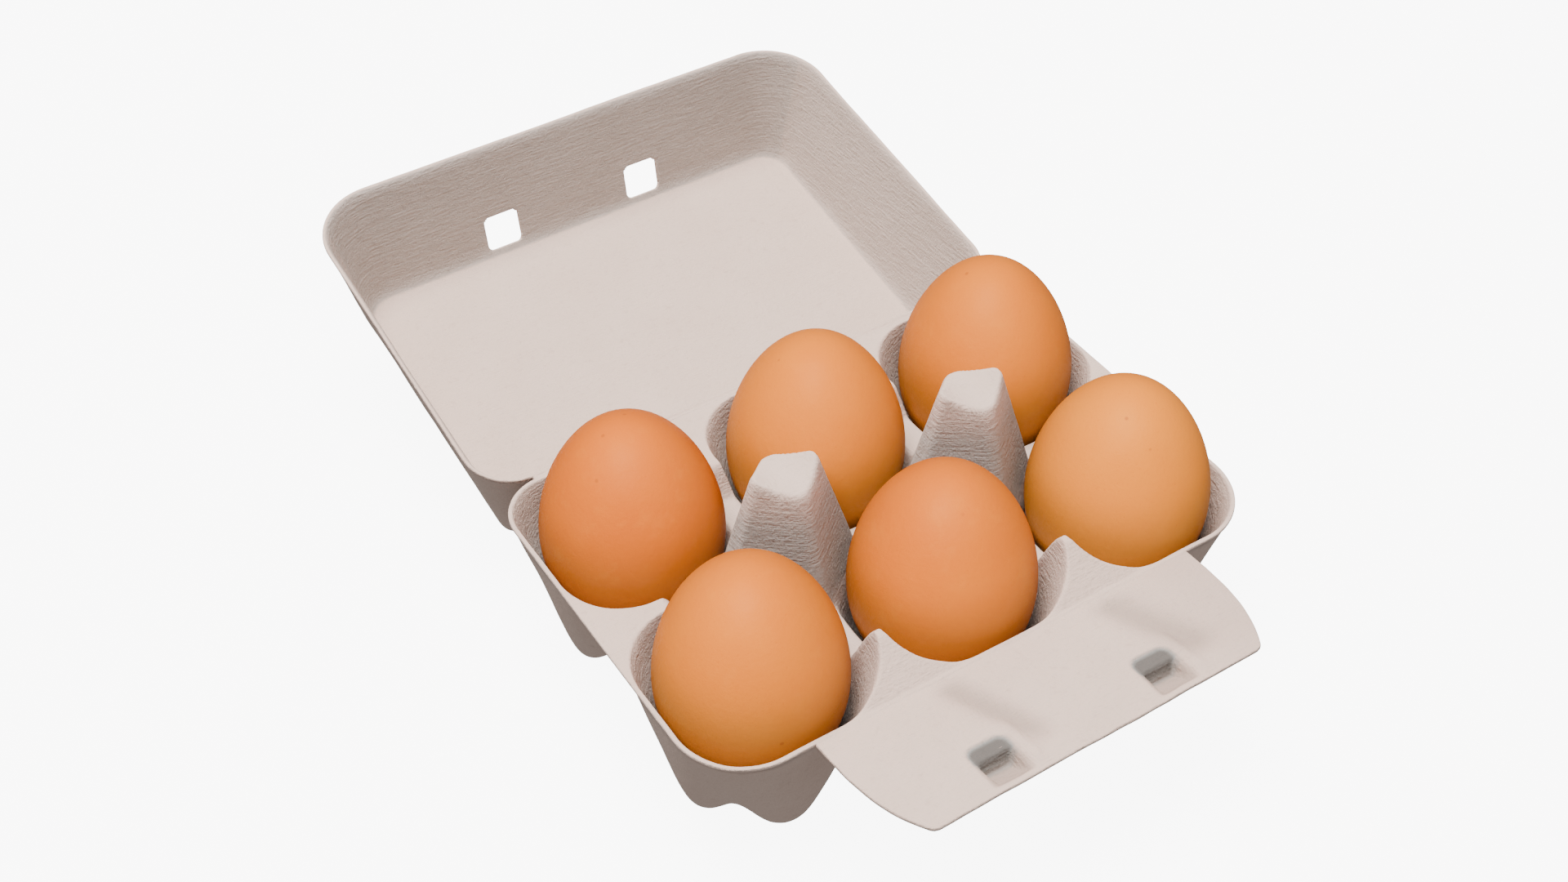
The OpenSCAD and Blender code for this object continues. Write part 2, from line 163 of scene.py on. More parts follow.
def thick_sheet(name, top, faces, hollow, plain, folded=0.0, sunk=0.0, lowest=-1e9):
    """A closed sheet of pulp under the points of its upper face, with rounded open edges.

    hollow says how much shade is painted into the pulp's colour at each point, from 0 to 2: how deep in a
    hollow it lies, or how steep a lid wall is.
    folded says, from 0 to 1, how much shade is painted at each point for a soft fold, a dent's floor or the
    flap's right end.
    sunk says how far the upper face is lowered, which makes the sheet thinner there.
    plain(points) says at which edge points the edge stays flat, because another sheet starts there.
    """
    normals = vertex_normals(top, faces)
    bottom = top - SHEET * normals
    bottom[:, 2] = np.maximum(bottom[:, 2], lowest)
    top = top - sunk
    corners = [(f[k], f[(k + 1) % 4]) for f in faces.tolist() for k in range(4) if f[k] != f[(k + 1) % 4]]
    used = set(corners)
    after = {a: b for a, b in corners if (b, a) not in used}
    before = {b: a for a, b in after.items()}
    rim = np.array(sorted(after))
    tangent = top[[after[v] for v in rim]] - top[[before[v] for v in rim]]
    out = np.cross(tangent, normals[rim])
    out /= np.maximum(np.linalg.norm(out, axis=1, keepdims=True), 1e-12)
    bulge = np.where(plain(top[rim]), 0.0, 0.24)[:, None]
    middle = (top[rim] + bottom[rim]) / 2
    half = (top[rim] - bottom[rim]) / 2
    angles = np.radians([28, 62, 90, 118, 152])
    bands = [middle + half * math.cos(a) + out * bulge * math.sin(a) for a in angles]
    n = len(top)
    points = np.concatenate([top, bottom, *bands])
    slot = {v: k for k, v in enumerate(rim)}
    layers = [{v: v for v in rim}]
    layers += [{v: 2 * n + band * len(rim) + slot[v] for v in rim} for band in range(len(angles))]
    layers += [{v: n + v for v in rim}]
    sides = [
        (upper[after[v]], upper[v], lower[v], lower[after[v]])
        for upper, lower in zip(layers, layers[1:])
        for v in rim
    ]
    under = faces[:, ::-1] + n
    triangles = faces[:, 2] == faces[:, 3]
    under[triangles] = faces[triangles][:, [2, 1, 0, 0]] + n
    elsewhere = np.zeros(n + len(rim) * len(angles))
    hollow = np.concatenate([hollow, elsewhere])
    folded = np.concatenate([np.broadcast_to(folded, n), elsewhere])
    faces = np.concatenate([faces, under, np.array(sides)])
    return make_object(name, points, faces, hollow=hollow, folded=folded)


# ---------------------------------------------------------------------------------------------
# Tray surface
# ---------------------------------------------------------------------------------------------


def lobe(u, v):
    """1 on the cell's own axes, where its four feet are, and 0 on its diagonals."""
    return ((u * u - v * v) / np.maximum(u * u + v * v, 0.01)) ** 2


def wall_width(u, v):
    return WALL_RUN + (WALL_RUN_CORNER - WALL_RUN) * (1 - lobe(u, v))


def foot(u, v):
    return 1 - (1 - lobe(u, v)) ** 1.4


def blocks(i, j, u, v):
    """Half size of cell (i, j) on the side that (u, v) points to, and whether that side is outside."""
    outer_x, outer_y = (i != 0) & (u * i > 0), v * j > 0
    return (
        np.where(outer_x, HALF_W - PITCH_X, PITCH_X / 2),
        np.where(outer_y, HALF_D - PITCH_Y / 2, PITCH_Y / 2),
        outer_x,
        outer_y,
    )


def opening(i, j, u, v):
    p = np.maximum(np.hypot(u, v), 0.01)
    half_x, half_y, outer_x, outer_y = blocks(i, j, u, v)
    corner = np.where(outer_x & outer_y, np.where(j < 0, CORNER_FRONT, CORNER_BACK) - LIP, OPENING_CORNER)
    return edge_distance(
        np.abs(u) / p,
        np.abs(v) / p,
        half_x - np.where(outer_x, LIP, RIDGE_HALF),
        half_y - np.where(outer_y, LIP, RIDGE_HALF),
        corner,
    )


def cup(i, j, u, v):
    p, r, run = np.hypot(u, v), opening(i, j, u, v), wall_width(u, v)
    drop = (FLOOR_Z - FOOT_Z) * foot(u, v)
    depth = RIM_Z - FLOOR_Z + drop
    inside = r - p
    wall = RIM_Z - depth * (1 - np.maximum(1 - inside / run, 0) ** WALL_BEND)
    floor = FLOOR_Z - drop * ramp((p / (r - run) - 0.5) / 0.35)
    outside = RIM_Z - inside * depth * WALL_BEND / run
    return np.where(inside < 0, outside, np.where(inside < run, wall, floor))


def web(x, y):
    """Rim, decks, low saddles and the two front crests."""
    crest = CREST_RISE * np.clip((CREST_FOOT + y) / 11, 0, 1)
    crest = crest * (1 - ramp((np.abs(np.abs(x) - POST_X) - 9) / 5))
    side = SADDLE_Z + (RIM_Z - SADDLE_Z) * ramp((np.abs(x) - DECK_SIDE) / 6.5)
    back = SADDLE_Z + (RIM_Z - SADDLE_Z) * ramp((y - DECK_BACK) / 5.5)
    front = SADDLE_Z + (RIM_Z + crest - SADDLE_Z) * ramp((-y - DECK_FRONT) / 8)
    return np.maximum(np.maximum(side, back), front)


def post_surface(x, y):
    u, v = np.abs(np.abs(x) - POST_X), np.abs(y)
    sides = soft_max(POST_SLOPE * (u - POST_HALF_X), POST_SLOPE * (v - POST_HALF_Y), 3)
    corners = POST_CUT_SLOPE * (u / POST_HALF_X + v / POST_HALF_Y - POST_CUT)
    return soft_min(POST_Z + POST_EDGE - soft_max(sides, corners, 3), POST_Z + POST_SADDLE * u * u, 2.5)


def tray_z(x, y):
    i = np.where(x < -PITCH_X / 2, -1, np.where(x > PITCH_X / 2, 1, 0))
    j = np.where(y < 0, -1, 1)
    cells = cup(i, j, x - i * PITCH_X, y - j * PITCH_Y / 2)
    return soft_max(soft_min(web(x, y), cells, 2), post_surface(x, y), 2)


def cell_plan(i, j, steps):
    """Rings of plan points of one cell from its middle to its outline, and the cell's middle first."""
    k = np.arange(4 * steps)
    side, t = k // steps, 2 * (k % steps) / steps - 1
    qx = np.select([side == 0, side == 1, side == 2], [1, -t, -1], t)
    qy = np.select([side == 0, side == 1, side == 2], [t, 1, -t], -1)
    half_x, half_y, outer_x, outer_y = blocks(i, j, qx, qy)
    u, v = qx * half_x, qy * half_y
    p = np.hypot(u, v)
    corner = np.where(outer_x & outer_y, CORNER_FRONT if j < 0 else CORNER_BACK, 0.0)
    whole = edge_distance(np.abs(u) / p, np.abs(v) / p, half_x, half_y, corner)
    r = opening(i, j, u, v)
    inner, top = r - wall_width(u, v), np.minimum(r, whole - 0.8)
    floor = np.array([0.12, 0.24, 0.36, 0.46, 0.54, 0.61, 0.67, 0.73, 0.79, 0.85, 0.92])
    wall = 1 - (1 - np.linspace(0, 1, 24)) ** 0.85
    rim = np.linspace(0, 1, 15)[1:] ** 1.15
    reach = np.concatenate(
        [floor[:, None] * inner, inner + wall[:, None] * (top - inner), top + rim[:, None] * (whole - top)]
    )
    x = i * PITCH_X + reach * u / p
    y = j * PITCH_Y / 2 + reach * v / p
    middle = np.array([[i * PITCH_X, j * PITCH_Y / 2]])
    return np.concatenate([middle, np.stack([x.ravel(), y.ravel()], axis=1)])


def band_faces(start, n):
    """Faces between the ring of n points that begins at number start and the ring after it."""
    k = np.arange(n)
    after = (k + 1) % n
    return np.stack([start + k, start + after, start + n + after, start + n + k], axis=1)


def disc_faces(count, n, first):
    """Faces of a middle point, number first, and the points after it: rings of n points going outwards."""
    k = np.arange(n)
    after = (k + 1) % n
    start = first + 1
    fan = np.stack([np.full(n, first), start + k, start + after, start + after], axis=1)
    rings = [
        np.stack([a + k, a + n + k, a + n + after, a + after], axis=1)
        for a in start + n * np.arange((count - 1) // n - 1)
    ]
    return np.concatenate([fan, *rings])


def merge(points, faces):
    """Welds the points that patches share along their seams."""
    keys = np.floor(points * 1000 + 0.123).astype(np.int64)
    _, first, inverse = np.unique(keys, axis=0, return_index=True, return_inverse=True)
    return points[first], inverse.ravel()[faces]


# ---------------------------------------------------------------------------------------------
# Lock flap
# ---------------------------------------------------------------------------------------------


def flap_half(s):
    """The flap's ends curve inwards, up to blunt corners at its long edge."""
    corner = np.clip(s - FLAP_LEN + 1, 0, 1)
    return FLAP_W / 2 - 7 * (np.maximum(s, 0) / FLAP_LEN) ** 3.1 - (1 - np.sqrt(1 - corner * corner))


def flap_x(column, s):
    """Place across the flap, of a column that starts at the given place at the hinge."""
    outer = np.clip((np.abs(column) - FLAP_STRAIGHT) / (np.abs(column).max() - FLAP_STRAIGHT), 0, 1)
    spread = np.sign(column) * (FLAP_STRAIGHT + outer * (flap_half(s) - FLAP_STRAIGHT))
    return np.where(outer > 0, spread, column)


def button_depth(x, s):
    across = 1 - ramp((np.abs(np.abs(x) - LOCK_X) - BUTTON_HALF) / BUTTON_SIDE)
    steep, crown = ramp((s - BUTTON_START) / BUTTON_BACK), BUTTON_START + BUTTON_CROWN
    slope = 1 - np.clip((s - crown) / (BUTTON_END - crown), 0, 1)
    return BUTTON_H * across * np.minimum(steep, slope)


def dent_distance(x, s):
    """Distance outwards from the edge of the nearer dent's mouth, a rectangle with round corners."""
    off = np.abs(np.abs(x) - LOCK_X)
    return np.hypot(np.maximum(off - DENT_HALF, 0), np.maximum(DENT_START - s, 0)) - DENT_CORNER


def pocket(x, s):
    """How far the upper face is sunk round each dent, where the pulp is thinner."""
    inside = 1 - ramp((dent_distance(x, s) + 0.7) / 1.2)
    return DENT_SUNK * inside * ramp((FLAP_LEN - 0.8 - s) / 1.5)


def in_dent(x, s):
    """1 inside a dent's mouth and 0 outside it, for the shade painted in the dent."""
    return (1 - ramp((dent_distance(x, s) + 1.0) / 1.5)) * ramp((FLAP_LEN - 0.7 - s) / 1.2)


def painted_dent_shade(x, s):
    """Painted shade in each dent: deepest near the hinge, less on the dent's steep wall and none on its
    sloping floor.
    """
    return in_dent(x, s) * (1.7 - 1.0 * ramp((s - 22.4) / 0.8) - 0.7 * ramp((s - 23.8) / 1.4))


def fold(x, s):
    """1 along the soft fold that runs from the hinge past the right side of each dent."""
    off = x - np.sign(x) * LOCK_X - 4 - 6.5 * np.clip((s - 3) / 17, 0, 1.1)
    return bump(off, np.where(x > 0, 4.6, 3.2)) * ramp((s + 1) / 5) * ramp((28 - s) / 8)


def painted_flap_shade(x, s):
    """Painted shade in the folds and, as in the photograph, on the flap's slightly darker right end."""
    return fold(x, s) + 0.4 * ramp((x - 24) / 26)


def ridge(x, s):
    """1 along the swelling between each dent and its fold."""
    off = x - np.sign(x) * LOCK_X
    return bump(off - 7.0, 1.6) * ramp((s - 13) / 5) * ramp((FLAP_LEN - s) / 4)


def flap_z(x, s):
    relief = 0.7 * ridge(x, s) - 1.1 * fold(x, s)
    return SHEET / 2 - button_depth(x, s) - 0.1 * bump(s, 0.9) + relief


def flap_points(x, s):
    """The flap's upper face at rest, from its own plan to the tray's millimetres."""
    z = flap_z(x, s)
    y = FLAP_AXIS[0] - s * math.cos(FLAP_TILT) + z * math.sin(FLAP_TILT)
    return np.stack([x, y, FLAP_AXIS[1] + s * math.sin(FLAP_TILT) + z * math.cos(FLAP_TILT)], axis=-1)


def tray_hollow(points):
    """Painted shade: how deep each point lies in a cell, or how far down on a post's side."""
    x, y, height = points.T
    on_post = ramp((post_surface(x, y) - web(x, y)) / 3)
    in_cell = ramp((RIM_Z - 3 - height) / 16)
    down_post = ramp((POST_Z - 1 - height) / 9)
    return 0.75 * in_cell * (1 - on_post) + 0.8 * down_post * on_post


def build_tray():
    plans, faces, count = [], [], 0
    steps = 96
    for i in (-1, 0, 1):
        for j in (-1, 1):
            plan = cell_plan(i, j, steps)
            faces.append(disc_faces(len(plan), 4 * steps, count))
            plans.append(plan)
            count += len(plan)
    plan, faces = merge(np.concatenate(plans), np.concatenate(faces))
    top = np.column_stack([plan, tray_z(plan[:, 0], plan[:, 1])])

    # The flap goes on from the tray's front edge.
    hinge = np.flatnonzero((np.abs(plan[:, 1] + HALF_D) < 1e-6) & (np.abs(plan[:, 0]) <= FLAP_W / 2))
    hinge = hinge[np.argsort(plan[hinge, 0])]
    # The rows of points are closer together across the dents.
    coarse, fine = np.arange(2, 17.5, 0.5), np.arange(17.5, FLAP_LEN - 0.2, 0.3)
    rows = np.concatenate([[-0.3, 0, 0.3, 0.6, 1, 1.5], coarse, fine, [FLAP_LEN]])
    s = np.repeat(rows, len(hinge))
    x = flap_x(np.tile(plan[hinge, 0], len(rows)), s)
    sheet = flap_points(x, s)
    ids = np.concatenate([hinge, len(top) + np.arange(len(sheet))]).reshape(-1, len(hinge))
    a, b = ids[:-1], ids[1:]
    flap_faces = np.stack([a[:, :-1], b[:, :-1], b[:, 1:], a[:, 1:]], axis=-1).reshape(-1, 4)
    flap_up = np.array([0, math.sin(FLAP_TILT), math.cos(FLAP_TILT)])
    sunk = np.concatenate([np.zeros((len(top), 3)), pocket(x, s)[:, None] * flap_up])
    hollow = np.concatenate([tray_hollow(top), painted_dent_shade(x, s)])
    folded = np.concatenate([np.zeros(len(top)), np.maximum(painted_flap_shade(x, s), in_dent(x, s))])
    top = np.concatenate([top, sheet])
    faces = np.concatenate([faces, flap_faces])

    normals = vertex_normals(top, faces)
    on_flap = ramp((-top[:, 1] - HALF_D) / 4)[:, None]
    size = 0.08 * waves(top, 26, 1) + 0.035 * waves(top, 7, 2)
    top = top + normals * size[:, None] * (0.8 + 1.8 * on_flap)
    return thick_sheet(
        "tray_and_flap_pulp",
        top,
        faces,
        hollow,
        folded=folded,
        sunk=sunk,
        plain=lambda p: (p[:, 1] > HALF_D - 0.5) & (np.abs(p[:, 0]) < LID_CREASE_HALF - 1),
        lowest=0.0,
    )


# ---------------------------------------------------------------------------------------------
# Lid
# ---------------------------------------------------------------------------------------------


# Steps in the arcs of the lid's corners, and points on each of its two straight sides
FAR_STEPS, NEAR_STEPS, SIDE_POINTS = 18, 14, 33


def lid_z(f):
    wall = -(f - 0.12) / 0.98 * LID_DEPTH
    return -LID_DROP + soft_max(soft_min(0.0, wall, 3), -LID_DEPTH, 4.5)


def arc(cx, cy, r, start, steps):
    a = np.radians(start + 90 * np.arange(steps + 1) / steps)
    return np.stack([cx + r * np.cos(a), cy + r * np.sin(a)], axis=1)


def line(a, b, part):
    return a + (b - a) * np.asarray(part)[:, None]


def lid_ring(f, far_x, near_x):
    """The lid's outline at inset f, anticlockwise from the far end of its right side."""
    w, far, near = LID_HALF_W - f * LID_RUN_SIDE, LID_LEN - f * LID_RUN_FAR, CREASE_GAP + f * LID_RUN_NEAR
    rf, rn = max(1, LID_CORNER_FAR - f * LID_RUN_SIDE), max(1, LID_CORNER_NEAR - f * LID_RUN_SIDE)
    right_far = arc(w - rf, far - rf, rf, 0, FAR_STEPS)
    left_far = arc(-w + rf, far - rf, rf, 90, FAR_STEPS)
    left_near = arc(-w + rn, near + rn, rn, 180, NEAR_STEPS)
    right_near = arc(w - rn, near + rn, rn, 270, NEAR_STEPS)
    sides = np.arange(1, SIDE_POINTS + 1) / (SIDE_POINTS + 1)
    return np.concatenate(
        [
            right_far,
            np.stack([far_x, np.full(len(far_x), far)], axis=1),
            left_far,
            line(left_far[-1], left_near[0], sides),
            left_near,
            np.stack([near_x, np.full(len(near_x), near)], axis=1),
            right_near,
            line(right_near[-1], right_far[0], sides),
        ]
    )


def window_distance(x, depth):
    """Signed distance to the edge of the nearer lock window, negative inside, and the way out."""
    px, py = np.abs(x) - LOCK_X, depth - (WINDOW_LOW + WINDOW_HIGH) / 2
    half_x, half_y = WINDOW_HALF_W - WINDOW_R, (WINDOW_HIGH - WINDOW_LOW) / 2 - WINDOW_R
    dx, dy = np.abs(px) - half_x, np.abs(py) - half_y
    outside = np.hypot(np.maximum(dx, 0), np.maximum(dy, 0))
    distance = outside + np.minimum(np.maximum(dx, dy), 0) - WINDOW_R
    corner = (dx > 0) & (dy > 0)
    gx = np.where(corner, dx / np.maximum(outside, 1e-9), (dx >= dy) * 1.0) * np.sign(px) * np.sign(x)
    gy = np.where(corner, dy / np.maximum(outside, 1e-9), (dx < dy) * 1.0) * np.sign(py)
    return distance, gx, gy


def lid_place(points):
    """From the lid's own frame, with its hinge axis along X through the origin, to the tray's."""
    c, s = math.cos(LID_TILT), math.sin(LID_TILT)
    x, y, z = points.T
    return np.stack([x, LID_AXIS[0] + y * c - z * s, LID_AXIS[1] + y * s + z * c], axis=1)


def build_lid():
    dense = np.linspace(0, 1.4, 1401)
    depth_table = -lid_z(dense) - LID_DROP
    near_windows = np.interp(np.arange(WINDOW_LOW - 1.2, WINDOW_HIGH + 1, 0.4), depth_table, dense)
    stations = np.concatenate(
        [
            np.linspace(0, 0.3, 14),
            np.linspace(0.3, near_windows[0], 14)[1:-1],
            near_windows,
            np.linspace(near_windows[-1], 1.36, 12)[1:],
        ]
    )
    window_columns = np.arange(LOCK_X - 6.6, LOCK_X + 6.8, 0.4)
    inner, outer = np.arange(0.9, LOCK_X - 7, 1.4), np.arange(LOCK_X + 7.9, 56.4, 1.4)
    right = np.concatenate([inner, window_columns, outer])
    far_x = np.concatenate([right[::-1], [0], -right])
    near_x = np.linspace(-61, 61, 88)
    plan = np.stack([lid_ring(f, far_x, near_x) for f in stations])
    n = plan.shape[1]
    f = np.repeat(stations[:, None], n, axis=1)
    x, y = plan[..., 0], plan[..., 1]

    # On the far wall, the points next to a window's edge are moved onto it.
    far_wall = np.zeros((len(stations), n), bool)
    far_start = FAR_STEPS + 1
    far_wall[:, far_start : far_start + len(far_x)] = True
    depth = -lid_z(f) - LID_DROP
    distance, gx, gy = window_distance(x, depth)
    snap = far_wall & (np.abs(distance) < 0.21)
    x = np.where(snap, x - distance * gx, x)
    depth = np.where(snap, depth - distance * gy, depth)
    f = np.where(snap, np.interp(depth, depth_table, dense), f)
    y = np.where(snap, LID_LEN - f * LID_RUN_FAR, y)
    distance = np.where(far_wall, window_distance(x, depth)[0], 1.0)

    rings = np.stack([x, y, lid_z(f)], axis=-1)
    middle = np.array([0, LID_LEN / 2, lid_z(2.0)])
    shrink = np.array([0.975, 0.94, 0.89, 0.82, 0.73, 0.62, 0.5, 0.38, 0.26, 0.14])[:, None, None]
    floor = middle + (rings[-1] - middle) * shrink
    floor[..., 2] = middle[2]
    rings = np.concatenate([rings, floor])
    top = np.concatenate([rings.reshape(-1, 3), middle[None]])

    k = np.arange(n)
    after = (k + 1) % n
    quads = np.concatenate([band_faces(start, n) for start in n * np.arange(len(rings) - 1)])
    last = n * (len(rings) - 1)
    centre = np.full(n, len(top) - 1)
    fan = np.stack([last + k, last + after, centre, centre], axis=1)
    inside = np.ones(len(top))
    inside[: distance.size] = distance.ravel()
    cut = (inside[quads] < 0.02).all(axis=1)
    faces = np.concatenate([quads[~cut], fan])

    # The crease: from the lid's hinge side to the tray's rim, which is level with the strip's end.
    near_start = far_start + len(far_x) + FAR_STEPS + 1 + SIDE_POINTS + NEAR_STEPS
    near_ids = np.arange(near_start, near_start + len(near_x) + 2)
    lid_edge = lid_place(top[near_ids])
    parts = np.array([0.25, 0.5, 0.75, 1.0])
    rim = np.stack([lid_edge[:, 0], np.full(len(near_ids), HALF_D), np.full(len(near_ids), RIM_Z)], axis=1)
    strip = lid_edge + (rim - lid_edge) * parts[:, None, None]
    strip[..., 2] -= (0.2 * np.sin(math.pi * parts) ** 2)[:, None]
    top = lid_place(top)
    rows = np.concatenate([near_ids, len(top) + np.arange(strip[..., 0].size)]).reshape(-1, len(near_ids))
    a, b = rows[:-1], rows[1:]
    crease = np.stack([a[:, 1:], a[:, :-1], b[:, :-1], b[:, 1:]], axis=-1).reshape(-1, 4)
    top = np.concatenate([top, strip.reshape(-1, 3)])
    faces = np.concatenate([faces, crease])

    used = np.zeros(len(top), bool)
    used[faces] = True
    renumber = np.cumsum(used) - 1
    top, faces = top[used], renumber[faces]
    normals = vertex_normals(top, faces)
    away = ramp((top[:, 1] - LID_AXIS[0] - 1) / 5)
    # Painted shade on the lid's steep walls, more where they face -Y.
    hollow = ramp((0.9 - np.abs(normals[:, 2])) / 0.3) * np.where(normals[:, 1] < -0.5, 0.6, 0.4)
    size = (0.10 * waves(top, 30, 3) + 0.035 * waves(top, 7, 4)) * away
    return thick_sheet(
        "lid_pulp",
        top + normals * size[:, None],
        faces,
        hollow * away,
        plain=lambda p: np.abs(p[:, 1] - HALF_D) < 0.01,
    )


# ---------------------------------------------------------------------------------------------
# Eggs
# ---------------------------------------------------------------------------------------------


def egg_profile(steps):
    t = -np.cos(np.pi * np.arange(steps + 1) / steps)
    widest = (1 - math.sqrt(1 + 8 * EGG_SKEW**2)) / (4 * EGG_SKEW)
    half = np.sqrt(np.maximum(0, 1 - t * t)) * (1 - EGG_SKEW * t)
    at_widest = math.sqrt(1 - widest**2) * (1 - EGG_SKEW * widest)
    return EGG_D / 2 * half / at_widest, (t - widest) * EGG_LEN / 2


def build_egg(name, i, j, pale):
    """pale is 0 for the most orange shell and 1 for the palest."""
    rings, n = 72, 96
    r, z = egg_profile(rings)
    a = 2 * np.pi * np.arange(n) / n
    body = np.stack(
        [r[1:-1, None] * np.cos(a), r[1:-1, None] * np.sin(a), np.repeat(z[1:-1, None], n, axis=1)], axis=-1
    )
    points = np.concatenate([[[0, 0, z[0]]], body.reshape(-1, 3), [[0, 0, z[-1]]]])
    k = np.arange(n)
    after = (k + 1) % n
    low = np.stack([np.zeros(n, int), 1 + after, 1 + k, 1 + k], axis=1)
    bands = [band_faces(start, n) for start in 1 + n * np.arange(rings - 2)]
    last = 1 + n * (rings - 2)
    tip = np.full(n, len(points) - 1)
    high = np.stack([last + k, last + after, tip, tip], axis=1)
    centre = np.array([i * PITCH_X, j * PITCH_Y / 2, EGG_Z])
    faces = np.concatenate([low, *bands, high])
    low_down = ramp((17 - points[:, 2]) / 17)
    return make_object(name, points + centre, faces, pale=np.full(len(points), pale), low_down=low_down)


# ---------------------------------------------------------------------------------------------
# Materials
# ---------------------------------------------------------------------------------------------


class Graph:
    """A short way to write a material's nodes."""

    def __init__(self, name):
        self.material = bpy.data.materials.new(name)
        self.material.use_nodes = True
        self.tree = self.material.node_tree
        self.tree.nodes.clear()
        self.output = self.tree.nodes.new("ShaderNodeOutputMaterial")
        self.shader = self.tree.nodes.new("ShaderNodeBsdfPrincipled")
        self.link(self.shader.outputs["BSDF"], self.output.inputs["Surface"])
        self.place = self.node("ShaderNodeTexCoord").outputs["Object"]

    def node(self, kind, **settings):
        made = self.tree.nodes.new(kind)
        for key, value in settings.items():
            setattr(made, key, value)
        return made

    def link(self, a, b):
        self.tree.links.new(a, b)

    def feed(self, socket, value):
        if isinstance(value, bpy.types.NodeSocket):
            self.link(value, socket)
        else:
            socket.default_value = value

    def noise(self, scale, detail=3.0, rough=0.55, stretch=None):
        made = self.node("ShaderNodeTexNoise")
        self.feed(made.inputs["Vector"], self.stretched(stretch) if stretch else self.place)
        made.inputs["Scale"].default_value = scale
        made.inputs["Detail"].default_value = detail
        made.inputs["Roughness"].default_value = rough
        return made.outputs["Fac"]

    def stretched(self, by):
        made = self.node("ShaderNodeMapping")
        self.link(self.place, made.inputs["Vector"])
        made.inputs["Scale"].default_value = by
        return made.outputs["Vector"]

    def attribute(self, name):
        """One of the named numbers that make_object stores for each point."""
        return self.node("ShaderNodeAttribute", attribute_name=name).outputs["Fac"]

    def math(self, operation, a, b=0.0):
        made = self.node("ShaderNodeMath", operation=operation)
        self.feed(made.inputs[0], a)
        self.feed(made.inputs[1], b)
        return made.outputs[0]

    def spread(self, value, low, high, to_low=0.0, to_high=1.0):
        made = self.node("ShaderNodeMapRange")
        keys = ("Value", "From Min", "From Max", "To Min", "To Max")
        for key, given in zip(keys, (value, low, high, to_low, to_high)):
            self.feed(made.inputs[key], given)
        return made.outputs["Result"]

    def mix(self, part, a, b, blend="MIX"):
        made = self.node("ShaderNodeMix", data_type="RGBA", blend_type=blend)
        self.feed(made.inputs[0], part)
        self.feed(made.inputs[6], a)
        self.feed(made.inputs[7], b)
        return made.outputs[2]

    def bumps(self, height, distance):
        made = self.node("ShaderNodeBump")
        made.inputs["Strength"].default_value = 1.0
        made.inputs["Distance"].default_value = distance
        self.link(height, made.inputs["Height"])
        self.link(made.outputs["Normal"], self.shader.inputs["Normal"])


def pulp_material():
    """Grey-beige moulded pulp: smooth felt with short fibres, with shade painted into its hollows, folds
    and steep lid walls.
    """
    g = Graph("moulded_pulp")
    mottle = g.noise(60, 3, 0.5)
    felt = g.noise(1500, 3, 0.6)
    fuzz = g.noise(520, 4, 0.62)
    fibre_a = g.noise(300, 2, 0.5, stretch=(1.0, 7.0, 5.0))
    fibre_b = g.noise(300, 2, 0.5, stretch=(7.0, 1.0, 5.0))
    streak = g.noise(130, 3, 0.6, stretch=(1.0, 1.0, 12.0))
    normal = g.node("ShaderNodeSeparateXYZ")
    g.link(g.node("ShaderNodeNewGeometry").outputs["Normal"], normal.inputs[0])
    steep = g.spread(g.math("ABSOLUTE", normal.outputs["Z"]), 0.75, 0.2)

    colour = g.mix(g.spread(mottle, 0.3, 0.7), (0.55, 0.417, 0.355, 1), (0.575, 0.440, 0.377, 1))
    colour = g.mix(g.spread(felt, 0.58, 0.75, 0.0, 0.25), colour, (0.61, 0.50, 0.44, 1))
    colour = g.mix(g.spread(fuzz, 0.42, 0.28, 0.0, 0.28), colour, (0.39, 0.29, 0.24, 1))
    colour = g.mix(g.spread(fibre_a, 0.66, 0.74, 0.0, 0.22), colour, (0.38, 0.28, 0.23, 1))
    # Painted shade in folds, dents and hollows and on the lid's steep walls, which this soft light alone
    # would leave too pale.
    colour = g.mix(g.spread(g.attribute("folded"), 0, 1), colour, (0.66, 0.66, 0.66, 1), blend="MULTIPLY")
    hollow = g.attribute("hollow")
    shaded = g.mix(1.0, colour, (0.55, 0.71, 0.79, 1), blend="MULTIPLY")
    deep = g.mix(1.0, colour, (0.18, 0.20, 0.21, 1), blend="MULTIPLY")
    colour = g.mix(g.spread(hollow, 0, 1), colour, g.mix(g.spread(hollow, 1, 2), shaded, deep))
    g.link(colour, g.shader.inputs["Base Color"])

    height = g.math("MULTIPLY", felt, 0.55)
    height = g.math("ADD", height, g.math("MULTIPLY", fuzz, 0.9))
    height = g.math("ADD", height, g.math("MULTIPLY", fibre_a, 0.5))
    height = g.math("ADD", height, g.math("MULTIPLY", fibre_b, 0.5))
    height = g.math("ADD", height, g.math("MULTIPLY", g.math("MULTIPLY", streak, steep), 1.0))
    g.bumps(height, 0.00028)
    g.shader.inputs["Roughness"].default_value = 0.92
    g.shader.inputs["Specular IOR Level"].default_value = 0.2
    return g.material


# The darker and the lighter colour of the clouds on a shell, each for the most orange and the palest egg
SHELL_COLOURS = (
    ((0.450, 0.096, 0.004, 1), (0.540, 0.158, 0.009, 1)),
    ((0.490, 0.118, 0.007, 1), (0.575, 0.185, 0.014, 1)),
)


